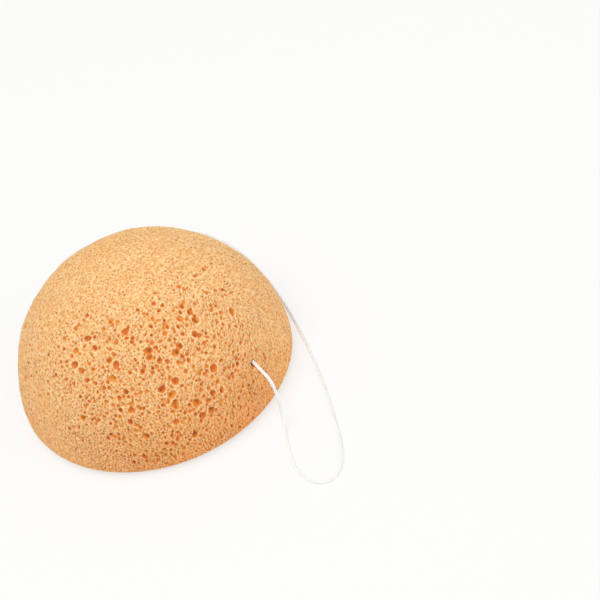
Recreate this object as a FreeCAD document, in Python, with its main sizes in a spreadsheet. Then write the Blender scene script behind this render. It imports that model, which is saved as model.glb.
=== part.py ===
"""Half-ball konjac sponge with a cotton hanging cord threaded through it, in millimetres.

The flat face lies on Z = 0 and the dome rises along +Z about the origin. The cord runs through the foam
in a straight tunnel parallel to Y, comes round the side as one free loop that lies on the same surface
as the sponge, and is tied in a knot just behind the tunnel's back mouth.
"""

import FreeCAD, Part
import Sketcher
import math
import os

# Driving sizes: name, value, what it is
SIZES = [
    ("ball_diameter", 80.0, "of the ball that the dome is a part of"),
    ("dome_height", 42.5, "from the flat face to the top of the dome"),
    ("rim_radius", 3.0, "rounding between the flat face and the dome"),
    ("tunnel_offset", 17.0, "from the dome's axis sideways to the tunnel"),
    ("tunnel_height", 15.5, "from the flat face up to the tunnel"),
    ("tunnel_clearance", 0.06, "between the cord and the foam round it"),
    ("cord_diameter", 1.0, "twisted cotton cord"),
    ("cord_lead", 0.6, "straight cord outside the front mouth"),
    ("knot_gap", 1.3, "from the back mouth to the knot"),
    ("knot_length", 4.2, "along the cord"),
    ("knot_diameter", 3.8, "across the knot's middle"),
    ("knot_taper_angle", 50.0, "where the knot's round side is cut flat"),
    ("strand_gap", 0.12, "between the strands that leave the knot"),
    ("floor_gap", 0.05, "under the cord where it lies on the surface"),
]

# Free loop's route, from the front mouth round to the knot.
# Off the front mouth: right, back and up from where the cord leaves it.
LEAVING = [(0.0, -3.4, 0.0), (0.2, -7.4, -1.4), (-0.2, -9.4, -5.8), (-1.2, -10.8, -11.4)]
# Front bight on the surface: right and back from the front mouth.
BIGHT = [
    (-3.2, -13.6),
    (-5.9, -19.8),
    (-8.3, -26.8),
    (-8.5, -32.4),
    (-6.2, -37.8),
    (-1.1, -38.8),
    (4.6, -32.4),
    (10.0, -19.6),
]
# Past the side on the surface: bearing round the dome's axis in degrees, distance outside its side.
PAST_THE_SIDE = [(-47.6, 9.3), (-26.2, 2.5), (-1.0, 1.9), (22.0, 7.0), (39.0, 14.0), (53.0, 18.6)]
# Behind the sponge on the surface: right and back from the knot.
BEHIND = [(8.5, 13.8), (2.0, 12.2)]
# Up to the knot: right, back and up from the strand's place on the knot's outer face.
RISING = [(0.6, 7.9, -12.4), (0.5, 6.0, -7.6), (0.2, 5.5, -2.9), (0.0, 3.2, 0.0)]
# Cut ends of the cord: right, back and up from each strand's place on the knot's outer face.
SHORT_END = [(0.0, 1.2, 0.0), (0.5, 2.3, -0.4), (1.2, 3.1, -1.1), (1.9, 3.6, -2.1)]
LONG_END = [(0.0, 1.3, 0.0), (-0.6, 2.4, -0.3), (-1.4, 3.4, -1.0), (-2.0, 4.0, -2.1), (-2.2, 4.2, -3.4)]

# Share of the shorter run beside a corner that the corner's arc takes up
ARC_SHARE = 0.45
# Share by which a tube's volume may differ from its section times its length
VOLUME_ERROR_SHARE = 0.01


def make_sheet(doc):
    """Spreadsheet of the driving sizes, one row each."""
    sheet = doc.addObject("Spreadsheet::Sheet", "Sizes")
    for row, (name, value, note) in enumerate(SIZES, start=1):
        sheet.set(f"A{row}", name)
        sheet.set(f"B{row}", str(value))
        sheet.setAlias(f"B{row}", name)
        sheet.set(f"C{row}", note)
    doc.recompute()
    return sheet


def add_sketch(body, name, plane_role):
    """Empty sketch on one of the body's own origin planes."""
    plane = next(item for item in body.Origin.OriginFeatures if item.Role == plane_role)
    sketch = body.newObject("Sketcher::SketchObject", name)
    sketch.AttachmentSupport = [(plane, "")]
    sketch.MapMode = "FlatFace"
    return sketch


def add_size(sketch, name, constraint, expression):
    """Named dimension of a sketch, bound to the sheet."""
    index = sketch.addConstraint(constraint)
    sketch.renameConstraint(index, name)
    sketch.setExpression(f"Constraints.{name}", expression)


def make_sponge(doc, sheet):
    """Foam half-ball: a ball cut flat below its middle, with a rounded rim and the cord's tunnel."""
    body = doc.addObject("PartDesign::Body", "sponge_body")
    ball_radius = sheet.ball_diameter / 2
    rim_radius = sheet.rim_radius

    # Half of the dome's outline, standing on the flat face
    origin = FreeCAD.Vector(0, 0, 0)
    normal = FreeCAD.Vector(0, 0, 1)
    top = FreeCAD.Vector(0, sheet.dome_height, 0)
    ball_centre = FreeCAD.Vector(0, sheet.dome_height - ball_radius, 0)
    rim_rise = rim_radius - ball_centre.y
    face_radius = math.sqrt((ball_radius - rim_radius) ** 2 - rim_rise**2)
    rim_centre = FreeCAD.Vector(face_radius, rim_radius, 0)
    foot = FreeCAD.Vector(face_radius, 0, 0)
    meeting = math.atan2(rim_rise, face_radius)
    dome_circle = Part.Circle(ball_centre, normal, ball_radius)
    rim_circle = Part.Circle(rim_centre, normal, rim_radius)

    outline = add_sketch(body, "dome_outline", "XZ_Plane")
    dome = outline.addGeometry(Part.ArcOfCircle(dome_circle, meeting, math.pi / 2), False)
    rim = outline.addGeometry(Part.ArcOfCircle(rim_circle, -math.pi / 2, meeting), False)
    face = outline.addGeometry(Part.LineSegment(origin, foot), False)
    axis = outline.addGeometry(Part.LineSegment(top, origin), False)
    outline.addConstraint(Sketcher.Constraint("Coincident", face, 1, -1, 1))
    outline.addConstraint(Sketcher.Constraint("Coincident", axis, 1, dome, 2))
    outline.addConstraint(Sketcher.Constraint("Coincident", axis, 2, -1, 1))
    outline.addConstraint(Sketcher.Constraint("Horizontal", face))
    outline.addConstraint(Sketcher.Constraint("Vertical", axis))
    outline.addConstraint(Sketcher.Constraint("PointOnObject", dome, 3, -2))
    outline.addConstraint(Sketcher.Constraint("Tangent", dome, 1, rim, 2))
    outline.addConstraint(Sketcher.Constraint("Tangent", rim, 1, face, 2))
    roundness = Sketcher.Constraint("Radius", dome, ball_radius)
    add_size(outline, "ball_radius", roundness, "Sizes.ball_diameter / 2")
    edge = Sketcher.Constraint("Radius", rim, rim_radius)
    add_size(outline, "rim_radius", edge, "Sizes.rim_radius")
    rise = Sketcher.Constraint("DistanceY", -1, 1, axis, 1, sheet.dome_height)
    add_size(outline, "dome_height", rise, "Sizes.dome_height")

    ball = body.newObject("PartDesign::Revolution", "half_ball")
    ball.Profile = (outline, [""])
    ball.ReferenceAxis = (outline, ["V_Axis"])
    ball.Angle = 360
    doc.recompute()
    whole_volume = ball.Shape.Volume

    # Tunnel for the cord, through from front to back
    mouth = add_sketch(body, "tunnel_mouth", "XZ_Plane")
    centre = FreeCAD.Vector(sheet.tunnel_offset, sheet.tunnel_height, 0)
    ring = mouth.addGeometry(Part.Circle(centre, normal, sheet.cord_diameter), False)
    aside = Sketcher.Constraint("DistanceX", -1, 1, ring, 3, sheet.tunnel_offset)
    add_size(mouth, "offset", aside, "Sizes.tunnel_offset")
    above = Sketcher.Constraint("DistanceY", -1, 1, ring, 3, sheet.tunnel_height)
    add_size(mouth, "height", above, "Sizes.tunnel_height")
    bore = Sketcher.Constraint("Radius", ring, sheet.cord_diameter)
    add_size(mouth, "radius", bore, "Sizes.cord_diameter / 2 + Sizes.tunnel_clearance")
    tunnel = body.newObject("PartDesign::Pocket", "tunnel")
    tunnel.Profile = (mouth, [""])
    tunnel.Type = "ThroughAll"
    tunnel.SideType = "Symmetric"
    doc.recompute()
    if tunnel.Shape.Volume >= whole_volume:
        raise RuntimeError("the tunnel cuts nothing")
    body.Tip = tunnel
    return body


def make_inner_run(doc):
    """Straight cord in the tunnel, from its lead at the front to the knot at the back."""
    half_chord = (
        "sqrt((Sizes.ball_diameter / 2)^2 - Sizes.tunnel_offset^2"
        " - (Sizes.tunnel_height - Sizes.dome_height + Sizes.ball_diameter / 2)^2)"
    )
    run = doc.addObject("Part::Cylinder", "cord_inner_run")
    run.Placement.Rotation = FreeCAD.Rotation(FreeCAD.Vector(1, 0, 0), -90)
    run.setExpression("Radius", "Sizes.cord_diameter / 2")
    run.setExpression("Height", f"2 * {half_chord} + Sizes.cord_lead + Sizes.knot_gap")
    run.setExpression("Placement.Base.x", "Sizes.tunnel_offset")
    run.setExpression("Placement.Base.y", f"-{half_chord} - Sizes.cord_lead")
    run.setExpression("Placement.Base.z", "Sizes.tunnel_height")
    doc.recompute()
    return run


def make_knot(doc, run):
    """Knot on the tunnel's line: a round lump, cut flat where the strands go in and out."""
    knot = doc.addObject("Part::Ellipsoid", "cord_knot")
    knot.Placement.Rotation = FreeCAD.Rotation(FreeCAD.Vector(1, 0, 0), -90)
    half_length = "Sizes.knot_length * 1 mm / 2"
    knot.setExpression("Radius1", f"{half_length} / sin(Sizes.knot_taper_angle * 1 deg)")
    knot.setExpression("Radius2", "Sizes.knot_diameter / 2")
    knot.setExpression("Angle1", "-Sizes.knot_taper_angle")
    knot.setExpression("Angle2", "Sizes.knot_taper_angle")
    knot.setExpression("Placement.Base.x", "Sizes.tunnel_offset")
    knot.setExpression("Placement.Base.y", f"{run.Name}.Placement.Base.y + {run.Name}.Height + {half_length}")
    knot.setExpression("Placement.Base.z", "Sizes.tunnel_height")
    doc.recompute()
    return knot


def corner_arcs(points):
    """Start, middle, end and radius of the arc at each inner point of a route."""
    arcs = []
    for before, corner, after in zip(points, points[1:], points[2:]):
        coming = corner - before
        going = after - corner
        turn = coming.getAngle(going)
        reach = ARC_SHARE * min(coming.Length, going.Length)
        radius = reach / math.tan(turn / 2)
        coming.normalize()
        going.normalize()
        inward = going - coming
        inward.normalize()
        sink = radius / math.cos(turn / 2) - radius
        arcs.append((corner - coming * reach, corner + inward * sink, corner + going * reach, radius))
    return arcs


def make_cord(doc, name, points, diameter):
    """Round tube along straight runs joined by tangent arcs."""
    arcs = corner_arcs(points)
    edges = []
    here = points[0]
    for start, middle, end, radius in arcs:
        edges.append(Part.LineSegment(here, start).toShape())
        edges.append(Part.Arc(start, middle, end).toShape())
        here = end
    edges.append(Part.LineSegment(here, points[-1]).toShape())
    path = Part.Wire(edges)
    circle = Part.Circle(points[0], points[1] - points[0], diameter / 2)
    section = Part.Wire([circle.toShape()])
    cord = doc.addObject("Part::Feature", name)
    cord.Shape = path.makePipeShell([section], True, False)
    cord.Placement = FreeCAD.Placement()

    expected = math.pi * diameter**2 / 4 * path.Length
    radii = ", ".join(f"{arc[3]:.1f}" for arc in arcs)
    print(f"{name}: length {path.Length:.1f} mm, radii {radii} mm")
    if abs(cord.Shape.Volume / expected - 1) > VOLUME_ERROR_SHARE:
        raise RuntimeError(f"{name} has volume {cord.Shape.Volume:.1f}, not {expected:.1f}")
    return cord


def strand_places(face, sheet):
    """Centres of the three strands on the knot's outer face: the loop below, the cut ends above."""
    spread = (sheet.cord_diameter + sheet.strand_gap) / math.sqrt(3)
    places = []
    for angle in (-90, 30, 150):
        right = spread * math.cos(math.radians(angle))
        up = spread * math.sin(math.radians(angle))
        places.append(face + FreeCAD.Vector(right, 0, up))
    return places


def loop_route(front, strand, face, sheet):
    """Points of the free loop, from the front mouth round the side to its place on the knot."""
    lying = sheet.cord_diameter / 2 + sheet.floor_gap
    side = sheet.ball_diameter / 2
    points = [front]
    for right, back, up in LEAVING:
        points.append(front + FreeCAD.Vector(right, back, up))
    for right, back in BIGHT:
        points.append(FreeCAD.Vector(front.x + right, front.y + back, lying))
    for bearing, outside in PAST_THE_SIDE:
        turned = math.radians(bearing)
        reach = side + outside
        points.append(FreeCAD.Vector(reach * math.cos(turned), reach * math.sin(turned), lying))
    for right, back in BEHIND:
        points.append(FreeCAD.Vector(face.x + right, face.y + back, lying))
    for right, back, up in RISING:
        points.append(strand + FreeCAD.Vector(right, back, up))
    points.append(strand)
    return points


def end_route(strand, offsets):
    """Points of a cut end, from its place on the knot outwards."""
    return [strand] + [strand + FreeCAD.Vector(*offset) for offset in offsets]


def write_parts(doc, parts):
    """Checks the whole document, then writes each sub-part to a file named for its label."""
    for item in doc.Objects:
        if "Invalid" in item.State or "Error" in item.State:
            raise RuntimeError(f"{item.Label} failed: {item.State}")
    for part in parts:
        if part.Shape.isNull() or not part.Shape.isValid():
            raise RuntimeError(f"{part.Label} has no valid shape")
    os.makedirs("parts", exist_ok=True)
    for part in parts:
        part.Shape.exportStep(f"parts/{part.Label}.step")


def main():
    doc = FreeCAD.newDocument("konjac_sponge")
    sheet = make_sheet(doc)
    sponge = make_sponge(doc, sheet)
    inner_run = make_inner_run(doc)
    knot = make_knot(doc, inner_run)

    front = inner_run.Placement.Base
    back = front + FreeCAD.Vector(0, inner_run.Height.Value, 0)
    face = back + FreeCAD.Vector(0, sheet.knot_length, 0)
    loop_strand, short_strand, long_strand = strand_places(face, sheet)
    route = loop_route(front, loop_strand, face, sheet)
    loop = make_cord(doc, "cord_loop", route, sheet.cord_diameter)
    short_route = end_route(short_strand, SHORT_END)
    short_end = make_cord(doc, "cord_short_end", short_route, sheet.cord_diameter)
    long_route = end_route(long_strand, LONG_END)
    long_end = make_cord(doc, "cord_long_end", long_route, sheet.cord_diameter)

    doc.recompute()
    write_parts(doc, [sponge, inner_run, loop, knot, short_end, long_end])


main()
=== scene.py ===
"""Looks of a half-ball konjac sponge on its cotton hanging cord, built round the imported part, in metres."""

import math
from dataclasses import dataclass

import bpy
import numpy as np
from bpy.props import (
    FloatProperty,
    FloatVectorProperty,
    IntProperty,
    IntVectorProperty,
    PointerProperty,
)
from mathutils import Matrix, Vector, kdtree


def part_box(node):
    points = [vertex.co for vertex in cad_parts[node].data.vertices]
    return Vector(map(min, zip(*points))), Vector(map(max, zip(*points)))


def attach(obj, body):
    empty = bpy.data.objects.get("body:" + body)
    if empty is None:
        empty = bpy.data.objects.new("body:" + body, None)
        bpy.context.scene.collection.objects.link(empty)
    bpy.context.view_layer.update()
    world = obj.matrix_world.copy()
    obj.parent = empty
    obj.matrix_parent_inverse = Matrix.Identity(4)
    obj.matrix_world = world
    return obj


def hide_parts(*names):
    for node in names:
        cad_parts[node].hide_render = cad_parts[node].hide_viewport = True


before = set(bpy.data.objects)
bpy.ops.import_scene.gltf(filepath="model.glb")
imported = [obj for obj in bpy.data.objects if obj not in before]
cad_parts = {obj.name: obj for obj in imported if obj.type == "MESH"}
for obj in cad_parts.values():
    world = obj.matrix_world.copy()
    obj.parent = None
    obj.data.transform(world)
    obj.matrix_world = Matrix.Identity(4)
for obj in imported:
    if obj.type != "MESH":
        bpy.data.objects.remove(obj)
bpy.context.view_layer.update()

bl_info = {
    "name": "Konjac Sponge",
    "version": (1, 0, 0),
    "blender": (4, 5, 0),
    "location": "3D View > Sidebar > Konjac",
    "description": "Builds the foam half-ball, its twisted cotton cord and a plain stage",
    "category": "Object",
}

MM = 0.001

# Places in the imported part
sponge_low, sponge_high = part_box("sponge_body")
run_low, run_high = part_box("cord_inner_run")
knot_low, knot_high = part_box("cord_knot")
BALL_RADIUS = (sponge_high.x - sponge_low.x) / 2
DOME_HEIGHT = sponge_high.z - sponge_low.z
CORD_DIAMETER = run_high.x - run_low.x
TUNNEL_X = (run_low.x + run_high.x) / 2
TUNNEL_Z = (run_low.z + run_high.z) / 2
FRONT = Vector((TUNNEL_X, run_low.y, TUNNEL_Z))
KNOT_FACE = Vector((TUNNEL_X, knot_high.y, TUNNEL_Z))
KNOT_MIDDLE = Vector((TUNNEL_X, (knot_low.y + knot_high.y) / 2, TUNNEL_Z))

# Free loop's route in millimetres, from the front mouth round to the knot.
# Off the front mouth: right, back and up from where the cord leaves it.
LEAVING = [(0.0, -3.4, 0.0), (0.2, -7.4, -1.4), (-0.2, -9.4, -5.8), (-1.2, -10.8, -11.4)]
# Front bight on the surface: right and back from the front mouth.
BIGHT = [
    (-3.2, -13.6),
    (-5.9, -19.8),
    (-8.3, -26.8),
    (-8.5, -32.4),
    (-6.2, -37.8),
    (-1.1, -38.8),
    (4.6, -32.4),
    (10.0, -19.6),
]
# Past the side on the surface: bearing round the dome's axis in degrees, distance outside its side.
PAST_THE_SIDE = [(-47.6, 9.3), (-26.2, 2.5), (-1.0, 1.9), (22.0, 7.0), (39.0, 14.0), (53.0, 18.6)]
# Behind the sponge on the surface: right and back from the knot.
BEHIND = [(8.5, 13.8), (2.0, 12.2)]
# Up to the knot: right, back and up from the strand's place on the knot's outer face.
RISING = [(0.6, 7.9, -12.4), (0.5, 6.0, -7.6), (0.2, 5.5, -2.9), (0.0, 3.2, 0.0)]
# Cut ends of the cord: right, back and up from each strand's place on the knot's outer face.
SHORT_END = [(0.0, 1.2, 0.0), (0.5, 2.3, -0.4), (1.2, 3.1, -1.1), (1.9, 3.6, -2.1)]
LONG_END = [(0.0, 1.3, 0.0), (-0.6, 2.4, -0.3), (-1.4, 3.4, -1.0), (-2.0, 4.0, -2.1), (-2.2, 4.2, -3.4)]
# Strands' places on the knot's outer face: the loop below, the cut ends above.
STRAND_SPREAD = 0.647
LOOP_STRAND, SHORT_STRAND, LONG_STRAND = -90.0, 30.0, 150.0
# Height of the cord's middle where it lies on the surface
LYING = 0.55

# Where the foam's open pores gather: bearing, elevation, half width, half height and tilt in degrees,
# then strength.
PORE_FIELDS = [
    (-107.0, 27.0, 54.0, 40.0, 2.0, 1.0),
    (30.0, 30.0, 42.0, 26.0, 12.0, 0.65),
    (130.0, 28.0, 46.0, 28.0, -8.0, 0.8),
]
# How much higher in a field the large, middling and small pores gather, in degrees
PORE_LIFTS = (9.0, 4.0, -1.0)
# How tightly each size gathers in the middle of a field
PORE_GATHERS = (2.4, 1.5, 0.9)
# Pores outside those fields, as a share of the most that there are
STRAY_PORES = 0.03
# Soft edge of a field, from its middle, as shares of its half width and half height
FIELD_EDGE = (0.35, 1.2)
# Places tried for each pore that is wanted
TRIES = 26
# Part of the dome's square and of the flat face's square that pores may take
DOME_PART, FACE_PART = 0.97, 0.95
# Clusters of pores: size, then the mean, spread and least of a place's chance
CLUSTER_SIZE = 7 * MM
CLUSTER_MEAN, CLUSTER_SPREAD, CLUSTER_LEAST = 0.5, 0.35, 0.15
# Ranges of a pore's random draws: share of its size's width, of the distance that it keeps, of the
# middling width in the flat face, depth in radii, and stretch
WIDTH_RANGE = (0.68, 1.12)
CLOSENESS_RANGE = (0.62, 1.1)
FACE_RANGE = (0.4, 0.75)
DEPTH_RANGE = (0.7, 1.15)
STRETCH_RANGE = (0.82, 1.22)
# Lobes of a pore's outline, and their greatest height in radii
LOBES, LOBE_MOST = 3, 0.11
# How far a pore marks the skin, in radii
PORE_REACH = 1.9
# Roundness of a pore's bowl: powers of the distance and of the depth
BOWL_WIDE, BOWL_DEEP = 2.4, 0.6
# Pale lip round a pore: distance from its middle and width, in radii
LIP_PLACE, LIP_WIDTH = 1.16, 0.16
# Radius above which a pore has two openings into the cells below, drawn only as dark painted shade
TWO_WINDOWS = 0.8 * MM
# Ranges of an opening's random draws: distance off the pore's middle and size, in radii
WINDOW_OFF = (0.15, 0.55)
WINDOW_SIZE = (0.28, 0.6)
# Soft edge of an opening, as shares of its size
WINDOW_EDGE = (0.6, 1.4)

# Sizes of the foam's patterns: slow drift of colour, closed cells, their raggedness, grain of the skin
DRIFT_SIZE = 9 * MM
CELL_SIZE = 0.76 * MM
RAGGED_SIZE = 0.5 * MM
GRAIN_SIZE = 0.5 * MM
# Dark speck and pale wall of a cell: distances from its middle in cells, then strength
SPECK_EDGE, SPECK_STRENGTH = (0.1, 0.46), 0.97
WALL_EDGE, WALL_STRENGTH = (0.42, 0.75), 0.62
LIP_STRENGTH = 0.7
# Depth in millimetres at which the painted shade inside a pore begins and is full
PORE_SHADE_DEPTHS = (0.08, 0.5)
# Where the foot's painted shade, deeper and more orange low on the side, fades: up the side, on the flat
# face, towards the back and towards the right. Axis, two places on it, shares of the colour there, and how it
# changes.
FOOT_SHADE_FADES = [
    ("Z", (1 * MM, 37 * MM), (0.8, 0.0), "SMOOTHSTEP"),
    ("Z", (0.0, 1.5 * MM), (0.25, 1.0), "LINEAR"),
    ("Y", (-37 * MM, -13 * MM), (1.0, 0.3), "SMOOTHSTEP"),
    ("X", (12 * MM, 30 * MM), (1.0, 0.4), "SMOOTHSTEP"),
]

# Sockets of a colour mix
MIX_FACTOR, MIX_A, MIX_B, MIX_RESULT = 0, 6, 7, 2


def linear(code):
    """Linear colour from an sRGB hex code."""
    shares = [int(code[place : place + 2], 16) / 255 for place in (0, 2, 4)]
    return tuple(c / 12.92 if c <= 0.04045 else ((c + 0.055) / 1.055) ** 2.4 for c in shares)


def shown_colour(name, description, code):
    """Colour setting whose default is an sRGB hex code."""
    return FloatVectorProperty(
        name=name, description=description, default=linear(code), size=3, min=0, max=1, subtype="COLOR"
    )


class FoamSettings(bpy.types.PropertyGroup):
    """Sizes and colours of the foam half-ball."""

    seed: IntProperty(name="Seed", description="Start of the random draws", default=5, min=0)
    grid: IntProperty(
        name="Grid", description="Quads along a side of the dome's mesh, in threes", default=420, min=30
    )
    rim_radius: FloatProperty(
        name="Rim radius", description="Rounding at the flat face", default=3 * MM, unit="LENGTH"
    )
    lump_height: FloatProperty(
        name="Lumps", description="Slow unevenness of the dome", default=0.12 * MM, unit="LENGTH"
    )
    grain_height: FloatProperty(
        name="Grain", description="Fine roughness of the skin", default=0.035 * MM, unit="LENGTH"
    )
    pore_widths: FloatVectorProperty(
        name="Pore widths",
        description="Width of the large, middling and small pores",
        default=(2.2 * MM, 1.35 * MM, 0.8 * MM),
        size=3,
        unit="LENGTH",
    )
    pore_counts: IntVectorProperty(
        name="Pore counts",
        description="How many large, middling and small pores the dome has",
        default=(75, 1000, 7000),
        size=3,
    )
    face_pores: IntProperty(name="Face pores", description="Pores in the flat face", default=420, min=0)
    skin: shown_colour("Skin", "Closed skin of the foam", "EFB87C")
    skin_warm: shown_colour("Warm skin", "Warmer patches of the skin", "E7A45E")
    # Foot: painted shade, deeper and more orange low on the side near the floor
    foot: shown_colour("Foot", "Skin low on the side, where it dried slower", "E98E3C")
    wall: shown_colour("Walls", "Thin walls that stand between pores", "FADCA6")
    speck: shown_colour("Specks", "Fine closed cells in the skin", "A4662C")
    # The next three colours are painted shade inside the pores: shallow, redder, and darkest in the openings
    # deep in a pore
    pore: shown_colour("Pores", "Inside of a shallow pore", "EA9A45")
    pore_red_shade: shown_colour("Red pores", "Inside of a redder pore", "DE7E3C")
    deep_shade: shown_colour("Hollows", "Openings between cells, deep in a pore", "A04C1A")


class CordSettings(bpy.types.PropertyGroup):
    """Sizes and colours of the cotton cord."""

    lay: FloatProperty(
        name="Lay", description="Length of one turn of the strands", default=2.8 * MM, unit="LENGTH"
    )
    sides: IntProperty(name="Sides", description="Sides of a strand", default=9, min=3)
    cotton: shown_colour("Cotton", "Bleached cotton", "FBFBF9")
    # Painted shade in the crease between the strands
    crease_shade: shown_colour("Groove", "Cotton between the strands", "ECEAE5")


class StageSettings(bpy.types.PropertyGroup):
    """Floor, light and camera."""

    floor: shown_colour("Floor", "Plain pale floor", "F9F9F8")
    floor_white: FloatProperty(
        name="Floor white", description="Share of the floor that the camera sees as white", default=0.7
    )
    world: FloatProperty(name="World light", description="Level of the light all round", default=0.6)
    key_power: FloatProperty(name="Key lamp", description="Large soft lamp", default=4.75, unit="POWER")
    fill_power: FloatProperty(name="Fill lamp", description="Second soft lamp", default=2.4, unit="POWER")
    turn: FloatProperty(
        name="Turn", description="Camera's bearing", default=math.radians(-15.0), subtype="ANGLE"
    )
    rise: FloatProperty(
        name="Rise", description="Camera's elevation", default=math.radians(42.67), subtype="ANGLE"
    )
    roll: FloatProperty(
        name="Roll", description="Camera's roll", default=math.radians(22.39), subtype="ANGLE"
    )
    distance: FloatProperty(
        name="Distance", description="Camera to the middle of the flat face", default=0.922, unit="LENGTH"
    )
    aim: FloatVectorProperty(
        name="Aim",
        description="Middle of the picture, right and up of the middle of the flat face",
        default=(40.3 * MM, 20.7 * MM),
        size=2,
        unit="LENGTH",
    )
    view_angle: FloatProperty(
        name="View angle", description="Across the picture", default=math.radians(10.7), subtype="ANGLE"
    )


def add_node(tree, kind, inputs=None, **settings):
    """Adds a node, makes its settings, and sets or links its inputs."""
    node = tree.nodes.new(kind)
    for name, value in settings.items():
        setattr(node, name, value)
    for name, value in (inputs or {}).items():
        if isinstance(value, bpy.types.NodeSocket):
            tree.links.new(value, node.inputs[name])
        else:
            node.inputs[name].default_value = value
    return node


def new_material(name):
    """Empty node material and its tree."""
    material = bpy.data.materials.new(name)
    material.use_nodes = True
    material.node_tree.nodes.clear()
    return material, material.node_tree


def solid(colour):
    """Colour with full alpha, as a node's socket takes it."""
    return (*colour, 1.0)


def add_piece(name, vertices, faces, material):
    """New smooth mesh object in the scene."""
    mesh = bpy.data.meshes.new(name)
    mesh.from_pydata(vertices, [], faces)
    mesh.shade_smooth()
    mesh.materials.append(material)
    piece = bpy.data.objects.new(name, mesh)
    bpy.context.scene.collection.objects.link(piece)
    return piece


def soft_step(low, high, value):
    """0 below low, 1 above high, and a soft step between."""
    share = np.clip((value - low) / (high - low), 0, 1)
    return share * share * (3 - 2 * share)


def unit(vectors):
    """Vectors of length one."""
    return vectors / np.linalg.norm(vectors, axis=-1, keepdims=True)


# Shortest and longest of the waves in a noise, as shares of its length
WAVE_SPREAD = (0.7, 1.4)


def waves(rng, points, length, count=28):
    """Smooth noise: a sum of sine waves about this long, with a spread of about one."""
    ways = unit(rng.normal(size=(count, 3)))
    lengths = length * rng.uniform(*WAVE_SPREAD, count)
    phases = rng.uniform(0, math.tau, count)
    turns = points @ (ways * (math.tau / lengths)[:, None]).T + phases
    return np.sin(turns).sum(1) * math.sqrt(2 / count)


# Foam half-ball

# Steps along the dome's outline, on the ball and on the rim
BALL_STEPS, RIM_STEPS = 1200, 300


def square_to_disc(u, v):
    """Equal-area map of the square from -1 to 1 onto the unit disc."""
    wide = np.abs(u) >= np.abs(v)
    reach = np.where(wide, u, v)
    safe = np.where(reach == 0, 1, reach)
    angle = np.where(wide, math.pi / 4 * v / safe, math.pi / 2 - math.pi / 4 * u / safe)
    return reach * np.cos(angle), reach * np.sin(angle)


def face_radius(foam):
    """Radius of the flat face inside the rounded rim."""
    rim_rise = foam.rim_radius - (DOME_HEIGHT - BALL_RADIUS)
    return math.sqrt((BALL_RADIUS - foam.rim_radius) ** 2 - rim_rise**2)


def dome_outline(foam):
    """Radius, height and normal along the outline from the dome's top to the flat face, by area swept."""
    foot = face_radius(foam)
    ball_height = DOME_HEIGHT - BALL_RADIUS
    meeting = math.atan2(foam.rim_radius - ball_height, foot)
    on_ball = np.linspace(math.pi / 2, meeting, BALL_STEPS)
    on_rim = np.linspace(meeting, -math.pi / 2, RIM_STEPS)[1:]
    ball_points = np.stack([BALL_RADIUS * np.cos(on_ball), ball_height + BALL_RADIUS * np.sin(on_ball)], 1)
    rim_outward = foot + foam.rim_radius * np.cos(on_rim)
    rim_points = np.stack([rim_outward, foam.rim_radius * (1 + np.sin(on_rim))], 1)
    points = np.concatenate([ball_points, rim_points])
    angles = np.concatenate([on_ball, on_rim])
    steps = np.linalg.norm(np.diff(points, axis=0), axis=1)
    swept = np.concatenate([[0], np.cumsum(steps * (points[1:, 0] + points[:-1, 0]))])
    return swept / swept[-1], points[:, 0], points[:, 1], np.cos(angles), np.sin(angles)


def on_dome(foam, u, v):
    """Points and normals of the dome at places in the square from -1 to 1, evenly by area."""
    swept, radius, height, outward, upward = dome_outline(foam)
    x, y = square_to_disc(u, v)
    reach = np.hypot(x, y)
    safe = np.where(reach == 0, 1, reach)
    share = reach**2
    r = np.interp(share, swept, radius)
    out = np.interp(share, swept, outward)
    points = np.stack([r * x / safe, r * y / safe, np.interp(share, swept, height)], -1)
    normals = np.stack([out * x / safe, out * y / safe, np.interp(share, swept, upward)], -1)
    return points, unit(normals)


def on_face(foam, u, v, inset):
    """Points and normals of the flat face at places in the square from -1 to 1."""
    x, y = square_to_disc(u, v)
    reach = face_radius(foam) - inset
    points = np.stack([reach * x, reach * y, np.zeros_like(x)], -1)
    normals = np.zeros_like(points)
    normals[..., 2] = -1
    return points, normals


def grid_faces(count, first, flipped):
    """Quads of a square grid of points, counted from first."""
    row, column = np.meshgrid(np.arange(count), np.arange(count), indexing="ij")
    corner = first + row * (count + 1) + column
    faces = np.stack([corner, corner + count + 1, corner + count + 2, corner + 1], -1).reshape(-1, 4)
    return faces[:, ::-1] if flipped else faces


def grid_edge(count, first):
    """Points along the edge of a square grid, once round."""
    side = np.arange(count)
    row = np.concatenate([side, np.full(count, count), count - side, np.zeros(count, int)])
    column = np.concatenate([np.zeros(count, int), side, np.full(count, count), count - side])
    return first + row * (count + 1) + column


@dataclass
class Pore:
    """One open cell: its place, its own axes across the skin, its size and shape."""

    centre: np.ndarray
    side: np.ndarray
    up: np.ndarray
    radius: float
    depth: float
    stretch: float
    lobe: float
    lobe_turn: float
    red: float


def pore_share(points, lift):
    """How many pores there are at each point, as a share of the most, with the fields lifted by an angle."""
    from_ball = points - np.array([0, 0, DOME_HEIGHT - BALL_RADIUS])
    bearing = np.degrees(np.arctan2(from_ball[:, 1], from_ball[:, 0]))
    elevation = np.degrees(np.arcsin(np.clip(unit(from_ball)[:, 2], -1, 1)))
    share = np.full(len(points), STRAY_PORES)
    for field_bearing, field_elevation, half_width, half_height, tilt, strength in PORE_FIELDS:
        aside = ((bearing - field_bearing + 180) % 360 - 180) * np.cos(np.radians(elevation))
        above = elevation - field_elevation - lift
        turn = math.radians(tilt)
        along = aside * math.cos(turn) + above * math.sin(turn)
        across = above * math.cos(turn) - aside * math.sin(turn)
        away = np.hypot(along / half_width, across / half_height)
        share = np.maximum(share, strength * (1 - soft_step(*FIELD_EDGE, away)))
    return share


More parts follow.
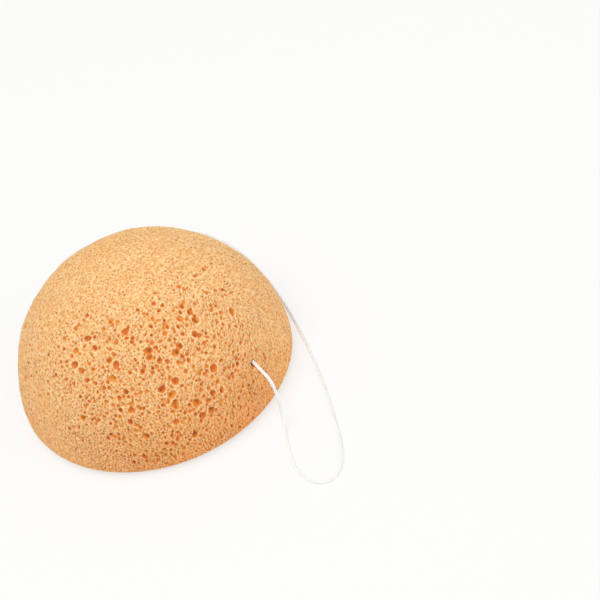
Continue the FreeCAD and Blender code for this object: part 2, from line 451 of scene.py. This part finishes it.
def place_pores(foam, rng):
    """Pores of the dome, the large ones first, gathered in their fields and clear of each other."""
    pores = []
    centres = np.zeros((0, 3))
    radii = np.zeros(0)
    kinds = zip(foam.pore_widths, foam.pore_counts, PORE_LIFTS, PORE_GATHERS)
    for width, count, lift, gather in kinds:
        tries = count * TRIES
        u, v = rng.uniform(-DOME_PART, DOME_PART, (2, tries))
        points, normals = on_dome(foam, u, v)
        clusters = CLUSTER_MEAN + CLUSTER_SPREAD * waves(rng, points, CLUSTER_SIZE)
        share = pore_share(points, lift) ** gather
        chosen = rng.uniform(0, 1, tries) < share * np.clip(clusters, CLUSTER_LEAST, 1)
        sizes = width * rng.uniform(*WIDTH_RANGE, tries) / 2
        closeness = rng.uniform(*CLOSENESS_RANGE, tries)
        placed = 0
        for place in np.flatnonzero(chosen):
            apart = np.linalg.norm(centres - points[place], axis=1)
            if (apart < (radii + sizes[place]) * closeness[place]).any():
                continue
            centres = np.vstack([centres, points[place]])
            radii = np.append(radii, sizes[place])
            pores.append(new_pore(rng, points[place], normals[place], sizes[place]))
            placed += 1
            if placed == count:
                break
    u, v = rng.uniform(-FACE_PART, FACE_PART, (2, foam.face_pores))
    points, normals = on_face(foam, u, v, inset=0)
    for point, normal in zip(points, normals):
        radius = foam.pore_widths[1] * rng.uniform(*FACE_RANGE)
        pores.append(new_pore(rng, point, normal, radius))
    return pores


def new_pore(rng, centre, normal, radius):
    """Pore of this radius with a random shape."""
    side = unit(np.cross(normal, rng.normal(size=3)))
    return Pore(
        centre=centre,
        side=side,
        up=np.cross(normal, side),
        radius=radius,
        depth=radius * rng.uniform(*DEPTH_RANGE),
        stretch=rng.uniform(*STRETCH_RANGE),
        lobe=rng.uniform(0.0, LOBE_MOST),
        lobe_turn=rng.uniform(0, math.tau),
        red=rng.uniform(0, 1),
    )


def press_pores(points, pores, rng):
    """Depth, lip, painted deep shade and redness that the pores give to each point."""
    tree = kdtree.KDTree(len(points))
    for index, point in enumerate(points):
        tree.insert(point, index)
    tree.balance()
    depth, lip, deep_shade, red = np.zeros((4, len(points)))
    for pore in pores:
        near = np.array([item[1] for item in tree.find_range(pore.centre, PORE_REACH * pore.radius)], int)
        if not len(near):
            continue
        offset = points[near] - pore.centre
        across = offset @ pore.side / (pore.radius * pore.stretch)
        along = offset @ pore.up / (pore.radius / pore.stretch)
        angle = np.arctan2(along, across)
        reach = np.hypot(across, along) / (1 + pore.lobe * np.cos(LOBES * angle + pore.lobe_turn))
        bowl = pore.depth * np.clip(1 - reach**BOWL_WIDE, 0, 1) ** BOWL_DEEP
        deeper = bowl > depth[near]
        red[near[deeper]] = pore.red
        depth[near] = np.maximum(depth[near], bowl)
        lip[near] = np.maximum(lip[near], np.exp(-(((reach - LIP_PLACE) / LIP_WIDTH) ** 2)))
        # Openings into the cells below, off the pore's middle, drawn as dark painted shade
        windows = 2 if pore.radius > TWO_WINDOWS else 1
        for _ in range(windows):
            turn = rng.uniform(0, math.tau)
            off = rng.uniform(*WINDOW_OFF)
            size = rng.uniform(*WINDOW_SIZE)
            strength = rng.uniform(0.0, 1.0)
            from_window = np.hypot(across - off * math.cos(turn), along - off * math.sin(turn))
            inner, outer = WINDOW_EDGE
            opening = strength * (1 - soft_step(inner * size, outer * size, from_window)) * (reach < 1)
            deep_shade[near] = np.maximum(deep_shade[near], opening)
    return depth, lip, deep_shade, red


def foam_material(foam):
    """Konjac foam, frozen and thawed: matt and porous, with painted shade, warmer and darker, down in its
    pores and low on its side.
    """
    material, tree = new_material("konjac_foam")
    place = add_node(tree, "ShaderNodeTexCoord").outputs["Object"]
    # Slow drift of colour, as the foam dried
    drift = add_node(tree, "ShaderNodeTexNoise", {"Vector": place, "Scale": 1 / DRIFT_SIZE, "Detail": 3.0})
    # Closed cells that show as ragged specks through the skin
    ragged = add_node(tree, "ShaderNodeTexNoise", {"Vector": place, "Scale": 1 / RAGGED_SIZE, "Detail": 2.0})
    shifted = add_node(
        tree,
        "ShaderNodeVectorMath",
        {0: ragged.outputs["Color"], 1: (RAGGED_SIZE, RAGGED_SIZE, RAGGED_SIZE), 2: place},
        operation="MULTIPLY_ADD",
    )
    cells = add_node(
        tree,
        "ShaderNodeTexVoronoi",
        {"Vector": shifted.outputs["Vector"], "Scale": 1 / CELL_SIZE, "Randomness": 1.0},
    )
    chance = add_node(tree, "ShaderNodeSeparateColor", {"Color": cells.outputs["Color"]})
    spots = add_node(
        tree,
        "ShaderNodeMapRange",
        {
            "Value": cells.outputs["Distance"],
            "From Min": SPECK_EDGE[0],
            "From Max": SPECK_EDGE[1],
            "To Min": 1.0,
            "To Max": 0.0,
        },
    )
    specks = add_node(
        tree, "ShaderNodeMath", {0: spots.outputs["Result"], 1: chance.outputs["Red"]}, operation="MULTIPLY"
    )
    faint_specks = add_node(
        tree, "ShaderNodeMath", {0: specks.outputs[0], 1: SPECK_STRENGTH}, operation="MULTIPLY"
    )
    walls = add_node(
        tree,
        "ShaderNodeMapRange",
        {
            "Value": cells.outputs["Distance"],
            "From Min": WALL_EDGE[0],
            "From Max": WALL_EDGE[1],
            "To Min": 0.0,
            "To Max": WALL_STRENGTH,
        },
    )
    grain = add_node(tree, "ShaderNodeTexNoise", {"Vector": place, "Scale": 1 / GRAIN_SIZE, "Detail": 2.0})

    depth = add_node(tree, "ShaderNodeAttribute", attribute_name="pore_depth")
    lip = add_node(tree, "ShaderNodeAttribute", attribute_name="pore_lip")
    deep_shade = add_node(tree, "ShaderNodeAttribute", attribute_name="pore_deep_shade")
    red = add_node(tree, "ShaderNodeAttribute", attribute_name="pore_red_shade")

    colour = add_node(
        tree,
        "ShaderNodeMix",
        {MIX_FACTOR: drift.outputs["Fac"], MIX_A: solid(foam.skin), MIX_B: solid(foam.skin_warm)},
        data_type="RGBA",
    )
    where = add_node(tree, "ShaderNodeSeparateXYZ", {"Vector": place})
    # Painted shade: the foot's colour is deeper and more orange low on the side
    foot = 1.0
    for axis, (start, end), (first, last), change in FOOT_SHADE_FADES:
        fade = add_node(
            tree,
            "ShaderNodeMapRange",
            {
                "Value": where.outputs[axis],
                "From Min": start,
                "From Max": end,
                "To Min": first,
                "To Max": last,
            },
            interpolation_type=change,
        )
        both = add_node(tree, "ShaderNodeMath", {0: foot, 1: fade.outputs["Result"]}, operation="MULTIPLY")
        foot = both.outputs[0]
    # Walls show less in the foot's painted shade
    outside_foot_shade = add_node(
        tree, "ShaderNodeMath", {0: foot, 1: -1.0, 2: 1.0}, operation="MULTIPLY_ADD"
    )
    thin_walls = add_node(
        tree, "ShaderNodeMath", {0: walls.outputs["Result"], 1: outside_foot_shade.outputs[0]}, operation="MULTIPLY"
    )
    layers = [
        (foot, solid(foam.foot)),
        (thin_walls.outputs[0], solid(foam.wall)),
        (faint_specks.outputs[0], solid(foam.speck)),
    ]
    pale_lip = add_node(
        tree, "ShaderNodeMath", {0: lip.outputs["Fac"], 1: LIP_STRENGTH}, operation="MULTIPLY"
    )
    layers.append((pale_lip.outputs[0], solid(foam.wall)))
    # Painted shade inside the pores, by depth, and darker still in their openings
    inside = add_node(
        tree,
        "ShaderNodeMix",
        {MIX_FACTOR: red.outputs["Fac"], MIX_A: solid(foam.pore), MIX_B: solid(foam.pore_red_shade)},
        data_type="RGBA",
    )
    pore_shade_share = add_node(
        tree,
        "ShaderNodeMapRange",
        {"Value": depth.outputs["Fac"], "From Min": PORE_SHADE_DEPTHS[0], "From Max": PORE_SHADE_DEPTHS[1]},
        interpolation_type="SMOOTHSTEP",
    )
    layers.append((pore_shade_share.outputs["Result"], inside.outputs[MIX_RESULT]))
    layers.append((deep_shade.outputs["Fac"], solid(foam.deep_shade)))
    for factor, layer in layers:
        colour = add_node(
            tree,
            "ShaderNodeMix",
            {MIX_FACTOR: factor, MIX_A: colour.outputs[MIX_RESULT], MIX_B: layer},
            data_type="RGBA",
        )
    relief = add_node(
        tree, "ShaderNodeMath", {0: grain.outputs["Fac"], 1: specks.outputs[0]}, operation="SUBTRACT"
    )
    bump = add_node(
        tree, "ShaderNodeBump", {"Height": relief.outputs[0], "Strength": 0.4, "Distance": 0.14 * MM}
    )
    roughness = add_node(
        tree,
        "ShaderNodeMapRange",
        {"Value": grain.outputs["Fac"], "From Min": 0.3, "From Max": 0.7, "To Min": 0.78, "To Max": 0.95},
    )
    surface = add_node(
        tree,
        "ShaderNodeBsdfPrincipled",
        {
            "Base Color": colour.outputs[MIX_RESULT],
            "Roughness": roughness.outputs["Result"],
            "Normal": bump.outputs["Normal"],
            "IOR": 1.4,
            "Specular IOR Level": 0.3,
        },
    )
    add_node(tree, "ShaderNodeOutputMaterial", {"Surface": surface.outputs["BSDF"]})
    return material


class KONJAC_OT_foam(bpy.types.Operator):
    """Builds the foam half-ball with its pores"""

    bl_idname = "konjac.foam"
    bl_label = "Foam Half-Ball"

    # Places of the dome and of the flat face in the map: lowest corner and side
    DOME_MAP = (0.01, 0.60)
    FACE_MAP = (0.63, 0.36)
    # Strip of the flat face that is laid round the dome's square, as a share of its side
    STRIP = 0.02
    # Quads of the dome beside each quad of the flat face, and corners of the strip's faces
    FINE_QUADS = 3
    STRIP_CORNERS = FINE_QUADS + 3
    # Strip between the flat face's grid and the rim
    FACE_INSET = 0.4 * MM
    # Room round the cord in its tunnel, and sides of the drill that cuts it
    TUNNEL_CLEARANCE = 0.06 * MM
    DRILL_SIDES = 24
    # Funnel where the cord goes into the foam: radii of its slope, depth, radii where its painted shade fades
    FUNNEL_SLOPE = (0.5 * MM, 1.3 * MM)
    FUNNEL_DEPTH = 0.9 * MM
    FUNNEL_SHADE = (0.55 * MM, 0.95 * MM)
    # Heights between which the unevenness begins above the flat face
    SETTLED = (0.3 * MM, 5 * MM)
    # Lengths of the slow, middling and short waves, height of the last two as a share, number of the last
    WAVE_LENGTHS = (24 * MM, 5 * MM, 1.8 * MM)
    LOW_WAVES = 0.3
    SHORT_WAVES = 60
    LIP_HEIGHT = 0.05 * MM

    def lay_map(self, piece, count, coarse):
        """Unwraps the two grids as squares, with the strip between them round the dome's square."""
        mesh = piece.data
        squares = []
        for (low, side), steps in ((self.DOME_MAP, count), (self.FACE_MAP, coarse)):
            place = low + side * np.linspace(0, 1, steps + 1)
            squares.append(np.stack(np.meshgrid(place, place, indexing="ij"), -1).reshape(-1, 2))
        places = np.concatenate(squares)
        corners = np.zeros(len(mesh.loops), int)
        mesh.loops.foreach_get("vertex_index", corners)
        unwrapped = places[corners]
        # The strip's faces come last: two corners on the flat face, then four on the dome
        corners_of_strip = 4 * coarse * self.STRIP_CORNERS
        strip = unwrapped[-corners_of_strip:].reshape(-1, self.STRIP_CORNERS, 2)
        low, side = self.DOME_MAP
        middle = low + side / 2
        strip[:, 0] = middle + (strip[:, 5] - middle) * (1 + self.STRIP)
        strip[:, 1] = middle + (strip[:, 2] - middle) * (1 + self.STRIP)
        layer = mesh.uv_layers.new(name="OFBake")
        layer.uv.foreach_set("vector", unwrapped.astype(np.float32).ravel())

    def bore_tunnel(self, piece):
        """Cuts the cord's tunnel right through the foam."""
        sides = self.DRILL_SIDES
        around = np.arange(sides) * math.tau / sides
        radius = CORD_DIAMETER / 2 + self.TUNNEL_CLEARANCE
        ring = np.stack([TUNNEL_X + radius * np.cos(around), TUNNEL_Z + radius * np.sin(around)], 1)
        ends = [[(x, y, z) for x, z in ring] for y in (-BALL_RADIUS, BALL_RADIUS)]
        faces = [tuple(range(sides)), tuple(range(2 * sides - 1, sides - 1, -1))]
        for side in range(sides):
            beside = (side + 1) % sides
            faces.append((side, side + sides, beside + sides, beside))
        drill = add_piece("drill", ends[0] + ends[1], faces, piece.data.materials[0])
        cut = piece.modifiers.new("tunnel", "BOOLEAN")
        cut.operation = "DIFFERENCE"
        cut.solver = "MANIFOLD"
        cut.object = drill
        graph = bpy.context.evaluated_depsgraph_get()
        bored = bpy.data.meshes.new_from_object(piece.evaluated_get(graph), depsgraph=graph)
        if len(bored.vertices) <= len(piece.data.vertices):
            raise RuntimeError("the tunnel cuts nothing")
        piece.modifiers.remove(cut)
        whole = piece.data
        piece.data = bored
        bpy.data.meshes.remove(whole)
        bored.name = piece.name
        bpy.data.objects.remove(drill)

    def execute(self, context):
        foam = context.scene.konjac_foam
        rng = np.random.default_rng(foam.seed)
        count = foam.grid
        coarse = count // self.FINE_QUADS
        fine_place = np.linspace(-1, 1, count + 1)
        coarse_place = np.linspace(-1, 1, coarse + 1)
        u, v = np.meshgrid(fine_place, fine_place, indexing="ij")
        dome, dome_normals = on_dome(foam, u.ravel(), v.ravel())
        u, v = np.meshgrid(coarse_place, coarse_place, indexing="ij")
        face, face_normals = on_face(foam, u.ravel(), v.ravel(), inset=self.FACE_INSET)
        points = np.concatenate([dome, face])
        normals = np.concatenate([dome_normals, face_normals])

        pores = place_pores(foam, rng)
        depth, lip, deep_shade, red = press_pores(points, pores, rng)

        # Funnel where the cord goes into the foam, with painted shade in its mouth
        from_tunnel = np.hypot(points[:, 0] - TUNNEL_X, points[:, 2] - TUNNEL_Z)
        mouth = 1 - soft_step(*self.FUNNEL_SLOPE, from_tunnel)
        depth = np.maximum(depth, self.FUNNEL_DEPTH * mouth)
        deep_shade = np.maximum(deep_shade, 1 - soft_step(*self.FUNNEL_SHADE, from_tunnel))

        settled = soft_step(*self.SETTLED, points[:, 2])
        slow, middling, short = self.WAVE_LENGTHS
        low_waves = self.LOW_WAVES * foam.lump_height
        raised = foam.lump_height * waves(rng, points, slow) * settled
        raised += low_waves * waves(rng, points, middling) * settled
        raised += low_waves * waves(rng, points, short, count=self.SHORT_WAVES) * settled
        raised += foam.grain_height * rng.normal(size=len(points)) * settled
        raised += self.LIP_HEIGHT * lip * settled
        points = points + normals * (raised - depth)[:, None]
        points[:, 2] = np.maximum(points[:, 2], 0)

        first_of_face = (count + 1) ** 2
        faces = grid_faces(count, 0, flipped=False).tolist()
        faces += grid_faces(coarse, first_of_face, flipped=True).tolist()
        outer = grid_edge(count, 0)
        inner = grid_edge(coarse, first_of_face)
        for index, start in enumerate(inner):
            end = inner[(index + 1) % len(inner)]
            steps = range(self.FINE_QUADS, -1, -1)
            beside = [outer[(self.FINE_QUADS * index + step) % len(outer)] for step in steps]
            faces.append([int(place) for place in (start, end, *beside)])

        piece = add_piece("foam_half_ball", points.tolist(), faces, foam_material(foam))
        self.lay_map(piece, count, coarse)
        marks = {"pore_depth": depth / MM, "pore_lip": lip, "pore_deep_shade": deep_shade, "pore_red_shade": red}
        for name, values in marks.items():
            attribute = piece.data.attributes.new(name, "FLOAT", "POINT")
            attribute.data.foreach_set("value", values.astype(np.float32))
        self.bore_tunnel(piece)
        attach(piece, "sponge")
        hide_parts("sponge_body")
        return {"FINISHED"}


# Cotton cord


def cord_points(offsets, start):
    """Points at these distances in millimetres from a start."""
    return [start + Vector(offset) * MM for offset in offsets]


def strand_place(angle):
    """Where a strand leaves the knot's outer face."""
    turned = math.radians(angle)
    return KNOT_FACE + Vector((math.cos(turned), 0, math.sin(turned))) * STRAND_SPREAD * MM


def loop_route():
    """Points of the free loop, from the front mouth round the side to its place on the knot."""
    strand = strand_place(LOOP_STRAND)
    route = [FRONT] + cord_points(LEAVING, FRONT)
    for right, back in BIGHT:
        route.append(Vector((FRONT.x + right * MM, FRONT.y + back * MM, LYING * MM)))
    for bearing, outside in PAST_THE_SIDE:
        turned = math.radians(bearing)
        reach = BALL_RADIUS + outside * MM
        route.append(Vector((reach * math.cos(turned), reach * math.sin(turned), LYING * MM)))
    for right, back in BEHIND:
        route.append(Vector((KNOT_FACE.x + right * MM, KNOT_FACE.y + back * MM, LYING * MM)))
    return route + cord_points(RISING, strand) + [strand]


def spline_line(points, resolution):
    """Points along a smooth NURBS spline through which a cord's strands are laid."""
    curve = bpy.data.curves.new("route", "CURVE")
    curve.dimensions = "3D"
    spline = curve.splines.new("NURBS")
    spline.points.add(len(points) - 1)
    for control, point in zip(spline.points, points):
        control.co = (*point, 1.0)
    spline.order_u = 3
    spline.use_endpoint_u = True
    spline.resolution_u = resolution
    holder = bpy.data.objects.new("route", curve)
    mesh = bpy.data.meshes.new_from_object(holder)
    line = np.array([vertex.co for vertex in mesh.vertices])
    bpy.data.objects.remove(holder)
    bpy.data.curves.remove(curve)
    bpy.data.meshes.remove(mesh)
    return line


STRANDS = 3
# Strand's radius and its distance from the cord's middle, as shares of the cord's diameter
STRAND_RADIUS = 0.232
STRAND_OFFSET = 0.268
# Strand's width over its thickness
STRAND_WIDENING = 1.12
# Length over which a cut end is frayed
FRAYED = 1.6 * MM
# Width of the fibres, drawn coarser than the real 0.02 mm so that they show
FIBRE_SIZE = 0.12 * MM


def twisted_strands(line, cord, first, fray=0.0):
    """Vertices, faces and painted crease shade of strands twisted about a line, frayed apart at its far end.
    """
    travelled = np.concatenate([[0], np.cumsum(np.linalg.norm(np.diff(line, axis=0), axis=1))])
    ahead = unit(np.gradient(line, axis=0))
    aside = np.zeros_like(line)
    way = np.array([1.0, 0.0, 0.0])
    for place, forward in enumerate(ahead):
        way = unit(way - forward * (way @ forward))
        aside[place] = way
    above = np.cross(ahead, aside)
    left = travelled[-1] - travelled
    spread = 1 + fray * (1 - soft_step(0, FRAYED, left)) if fray else np.ones(len(line))
    vertices, faces, crease_shades = [], [], []
    around = np.arange(cord.sides) * math.tau / cord.sides
    for strand in range(STRANDS):
        turn = math.tau * (strand / STRANDS + travelled / cord.lay)
        out = aside * np.cos(turn)[:, None] + above * np.sin(turn)[:, None]
        across = np.cross(ahead, out)
        middle = line + out * (STRAND_OFFSET * CORD_DIAMETER * spread)[:, None]
        radius = STRAND_RADIUS * CORD_DIAMETER
        rings = (
            middle[:, None]
            + radius * np.cos(around)[None, :, None] * out[:, None]
            + STRAND_WIDENING * radius * np.sin(around)[None, :, None] * across[:, None]
        )
        begin = first + len(vertices)
        vertices += rings.reshape(-1, 3).tolist()
        # Painted shade in the crease between strands, darkest on a strand's inner side
        crease_shades += np.tile((1 - np.cos(around)) / 2, len(line)).tolist()
        for ring in range(len(line) - 1):
            for side in range(cord.sides):
                here = begin + ring * cord.sides + side
                beside = begin + ring * cord.sides + (side + 1) % cord.sides
                faces.append((here, beside, beside + cord.sides, here + cord.sides))
        last = begin + (len(line) - 1) * cord.sides
        faces.append(tuple(range(begin, begin + cord.sides))[::-1])
        faces.append(tuple(range(last, last + cord.sides)))
    return vertices, faces, crease_shades


def cotton_material(cord):
    """Bleached cotton, spun and twisted: soft white, matt, with painted shade, greyer, in the crease between
    strands.
    """
    material, tree = new_material("twisted_cotton")
    place = add_node(tree, "ShaderNodeTexCoord").outputs["Object"]
    fibres = add_node(tree, "ShaderNodeTexNoise", {"Vector": place, "Scale": 1 / FIBRE_SIZE, "Detail": 3.0})
    crease_shade = add_node(tree, "ShaderNodeAttribute", attribute_name="crease_shade")
    shade = add_node(
        tree, "ShaderNodeMath", {0: crease_shade.outputs["Fac"], 1: fibres.outputs["Fac"]}, operation="MULTIPLY"
    )
    colour = add_node(
        tree,
        "ShaderNodeMix",
        {MIX_FACTOR: shade.outputs[0], MIX_A: solid(cord.cotton), MIX_B: solid(cord.crease_shade)},
        data_type="RGBA",
    )
    bump = add_node(
        tree, "ShaderNodeBump", {"Height": fibres.outputs["Fac"], "Strength": 0.3, "Distance": 0.04 * MM}
    )
    surface = add_node(
        tree,
        "ShaderNodeBsdfPrincipled",
        {
            "Base Color": colour.outputs[MIX_RESULT],
            "Roughness": 0.9,
            "Normal": bump.outputs["Normal"],
            "Sheen Weight": 0.15,
            "Specular IOR Level": 0.25,
        },
    )
    add_node(tree, "ShaderNodeOutputMaterial", {"Surface": surface.outputs["BSDF"]})
    return material


def add_cord_piece(name, lines, cord, fray=0.0):
    """Piece made of one or more twisted cords, with their painted crease shade."""
    vertices, faces, crease_shades = [], [], []
    for line in lines:
        more_vertices, more_faces, more_grooves = twisted_strands(line, cord, len(vertices), fray)
        vertices += more_vertices
        faces += more_faces
        crease_shades += more_grooves
    material = bpy.data.materials.get("twisted_cotton") or cotton_material(cord)
    piece = add_piece(name, vertices, faces, material)
    attribute = piece.data.attributes.new("crease_shade", "FLOAT", "POINT")
    attribute.data.foreach_set("value", np.array(crease_shades, np.float32))
    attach(piece, "cord")
    return piece


class KONJAC_OT_knot(bpy.types.Operator):
    """Ties the knot behind the sponge, with its two cut ends"""

    bl_idname = "konjac.knot"
    bl_label = "Knot"

    # Coil of the cord that comes out of the tunnel: turns, steps in a turn, first angle in degrees, radius
    # and reach along the knot
    COIL_TURNS = 2.1
    COIL_STEPS = 12
    COIL_FIRST = 60
    COIL_RADIUS = 1.0
    COIL_REACH = (-0.55, 1.25)
    # The same cord before and after its coil: angle in degrees, radius, place along the knot
    COIL_LEAD = [(0, 0.05, -1.7), (20, 0.35, -1.2)]
    COIL_TAIL = (30, 0.75, 1.75)
    # Cord of the loop, over the coil and round its neck: angle in degrees, radius, place along the knot
    CROSSING = [
        (-90.0, 1.2, 1.6),
        (-80.0, 1.7, 0.8),
        (-52.0, 1.8, -0.2),
        (-10.0, 1.4, -1.2),
        (50.0, 1.1, -1.45),
        (105.0, 1.4, -1.1),
        (140.0, 1.8, -0.1),
        (155.0, 1.75, 0.9),
        (152.0, 1.1, 1.7),
    ]

    def about_knot(self, angle, radius, along):
        """Point at an angle and radius about the knot's middle line."""
        turned = math.radians(angle)
        return KNOT_MIDDLE + Vector((radius * math.cos(turned), along, radius * math.sin(turned))) * MM

    def execute(self, context):
        cord = context.scene.konjac_cord
        inner_face = Vector((TUNNEL_X, knot_low.y, TUNNEL_Z))
        short_place = strand_place(SHORT_STRAND)
        coil = [inner_face] + [self.about_knot(*place) for place in self.COIL_LEAD]
        steps = int(self.COIL_TURNS * self.COIL_STEPS)
        low, high = self.COIL_REACH
        for step in range(steps + 1):
            share = step / steps
            angle = self.COIL_FIRST + 360 * self.COIL_TURNS * share
            coil.append(self.about_knot(angle, self.COIL_RADIUS, low + (high - low) * share))
        coil += [self.about_knot(*self.COIL_TAIL), short_place] + cord_points(SHORT_END, short_place)
        long_place = strand_place(LONG_STRAND)
        crossing = [strand_place(LOOP_STRAND)] + [self.about_knot(*place) for place in self.CROSSING]
        crossing += [long_place] + cord_points(LONG_END, long_place)
        lines = [spline_line(coil, resolution=10), spline_line(crossing, resolution=12)]
        piece = add_cord_piece("tied_knot", lines, cord, fray=0.7)
        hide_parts("cord_knot", "cord_short_end", "cord_long_end")
        return {"FINISHED"}


class KONJAC_OT_cord(bpy.types.Operator):
    """Lays the hanging loop and the cord inside the tunnel"""

    bl_idname = "konjac.cord"
    bl_label = "Hanging Cord"

    def execute(self, context):
        cord = context.scene.konjac_cord
        middle = Vector((TUNNEL_X, (run_low.y + run_high.y) / 2, TUNNEL_Z))
        inner_end = Vector((TUNNEL_X, run_high.y, TUNNEL_Z))
        inner_line = spline_line([FRONT, middle, inner_end], resolution=120)
        inner = add_cord_piece("cord_in_tunnel", [inner_line], cord)
        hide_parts("cord_inner_run")

        line = spline_line(loop_route(), resolution=28)
        loop = add_cord_piece("hanging_loop", [line], cord)
        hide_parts("cord_loop")
        return {"FINISHED"}


# Stage

# Size of the cloudiness in the paper
PULP_SIZE = 60 * MM


def camera_axes(stage):
    """Right, up and back of the rolled camera."""
    level_right = Vector((math.cos(stage.turn), math.sin(stage.turn), 0))
    back = Vector(
        (
            math.sin(stage.turn) * math.cos(stage.rise),
            -math.cos(stage.turn) * math.cos(stage.rise),
            math.sin(stage.rise),
        )
    )
    level_up = back.cross(level_right)
    right = level_right * math.cos(stage.roll) - level_up * math.sin(stage.roll)
    up = level_right * math.sin(stage.roll) + level_up * math.cos(stage.roll)
    return right, up, back


def seen_white(tree):
    """1 on rays that show a surface to the eye, in a mirror or through glass, and 0 on rays that light it."""
    rays = add_node(tree, "ShaderNodeLightPath")
    seen = rays.outputs["Is Camera Ray"]
    for name in ("Is Glossy Ray", "Is Transmission Ray"):
        either = add_node(tree, "ShaderNodeMath", {0: seen, 1: rays.outputs[name]}, operation="MAXIMUM")
        seen = either.outputs[0]
    return seen


def floor_material(stage):
    """Pale matt paper: evenly white to the eye, and it still takes a soft shadow."""
    material, tree = new_material("pale_paper")
    place = add_node(tree, "ShaderNodeTexCoord").outputs["Object"]
    pulp = add_node(tree, "ShaderNodeTexNoise", {"Vector": place, "Scale": 1 / PULP_SIZE, "Detail": 2.0})
    roughness = add_node(
        tree, "ShaderNodeMapRange", {"Value": pulp.outputs["Fac"], "To Min": 0.85, "To Max": 0.95}
    )
    paper = add_node(
        tree,
        "ShaderNodeBsdfPrincipled",
        {
            "Base Color": solid(stage.floor),
            "Roughness": roughness.outputs["Result"],
            "Specular IOR Level": 0.1,
        },
    )
    white = add_node(tree, "ShaderNodeEmission", {"Color": solid(stage.floor), "Strength": 1.0})
    share = add_node(
        tree, "ShaderNodeMath", {0: seen_white(tree), 1: stage.floor_white}, operation="MULTIPLY"
    )
    mixed = add_node(
        tree,
        "ShaderNodeMixShader",
        {0: share.outputs[0], 1: paper.outputs["BSDF"], 2: white.outputs["Emission"]},
    )
    add_node(tree, "ShaderNodeOutputMaterial", {"Surface": mixed.outputs["Shader"]})
    return material


def add_lamp(name, place, size, power):
    """Square soft lamp that points at the sponge."""
    lamp = bpy.data.lights.new(name, "AREA")
    lamp.size = size
    lamp.energy = power
    holder = bpy.data.objects.new(name, lamp)
    holder.location = place
    middle = Vector((0, 0, DOME_HEIGHT / 2))
    holder.rotation_mode = "QUATERNION"
    holder.rotation_quaternion = (middle - Vector(place)).to_track_quat("-Z", "Y")
    bpy.context.scene.collection.objects.link(holder)


class KONJAC_OT_stage(bpy.types.Operator):
    """Sets the floor, the light and the camera"""

    bl_idname = "konjac.stage"
    bl_label = "Stage"

    # Floor's half width, and its drop below the flat face
    FLOOR_HALF = 3.0
    FLOOR_DROP = 0.02 * MM
    # Lamps: distance towards the camera, to its right and up in the picture, then width
    KEY_PLACE, KEY_WIDTH = (0.7, -0.35, 0.45), 0.7
    FILL_PLACE, FILL_WIDTH = (0.5, 0.8, 0.1), 0.8
    # Farthest that the camera sees
    FARTHEST = 20

    def execute(self, context):
        scene = context.scene
        stage = scene.konjac_stage
        scene.view_settings.view_transform = "Standard"

        half = self.FLOOR_HALF
        corners = [(-half, -half, 0), (half, -half, 0), (half, half, 0), (-half, half, 0)]
        floor = add_piece("floor", corners, [(0, 1, 2, 3)], floor_material(stage))
        floor.location.z = -self.FLOOR_DROP

        right, up, back = camera_axes(stage)
        lamps = [
            ("key_lamp", self.KEY_PLACE, self.KEY_WIDTH, stage.key_power),
            ("fill_lamp", self.FILL_PLACE, self.FILL_WIDTH, stage.fill_power),
        ]
        for name, (towards, aside, above), width, power in lamps:
            add_lamp(name, back * towards + right * aside + up * above, width, power)
        world = bpy.data.worlds.new("soft_white")
        scene.world = world
        world.use_nodes = True
        tree = world.node_tree
        tree.nodes.clear()
        level = add_node(
            tree,
            "ShaderNodeMapRange",
            {"Value": seen_white(tree), "To Min": stage.world, "To Max": 1.0},
        )
        sky = add_node(
            tree, "ShaderNodeBackground", {"Color": (1, 1, 1, 1), "Strength": level.outputs["Result"]}
        )
        add_node(tree, "ShaderNodeOutputWorld", {"Surface": sky.outputs["Background"]})

        lens = bpy.data.cameras.new("camera")
        lens.sensor_fit = "HORIZONTAL"
        lens.angle = stage.view_angle
        lens.clip_end = self.FARTHEST
        camera = bpy.data.objects.new("camera", lens)
        scene.collection.objects.link(camera)
        camera.location = back * stage.distance
        aim = right * stage.aim[0] + up * stage.aim[1]
        out = (camera.location - aim).normalized()
        level_right = up.cross(out).normalized()
        axes = Matrix((level_right, out.cross(level_right), out)).transposed()
        camera.rotation_mode = "QUATERNION"
        camera.rotation_quaternion = axes.to_quaternion()
        scene.camera = camera
        return {"FINISHED"}


class KONJAC_PT_pieces(bpy.types.Panel):
    """Sidebar panel with the pieces and their settings"""

    bl_idname = "KONJAC_PT_pieces"
    bl_label = "Konjac Sponge"
    bl_space_type = "VIEW_3D"
    bl_region_type = "UI"
    bl_category = "Konjac"

    def draw(self, context):
        layout = self.layout
        for operator in OPERATORS:
            layout.operator(operator.bl_idname)
        for settings in (context.scene.konjac_foam, context.scene.konjac_cord, context.scene.konjac_stage):
            box = layout.box()
            for name in settings.__annotations__:
                box.prop(settings, name)


OPERATORS = [KONJAC_OT_stage, KONJAC_OT_foam, KONJAC_OT_knot, KONJAC_OT_cord]
CLASSES = [FoamSettings, CordSettings, StageSettings, *OPERATORS, KONJAC_PT_pieces]


def register():
    for item in CLASSES:
        bpy.utils.register_class(item)
    bpy.types.Scene.konjac_foam = PointerProperty(type=FoamSettings)
    bpy.types.Scene.konjac_cord = PointerProperty(type=CordSettings)
    bpy.types.Scene.konjac_stage = PointerProperty(type=StageSettings)


def unregister():
    del bpy.types.Scene.konjac_stage
    del bpy.types.Scene.konjac_cord
    del bpy.types.Scene.konjac_foam
    for item in reversed(CLASSES):
        bpy.utils.unregister_class(item)


def main():
    register()
    bpy.ops.konjac.stage()
    bpy.ops.konjac.foam()
    bpy.ops.konjac.knot()
    bpy.ops.konjac.cord()


if __name__ == "__main__":
    main()
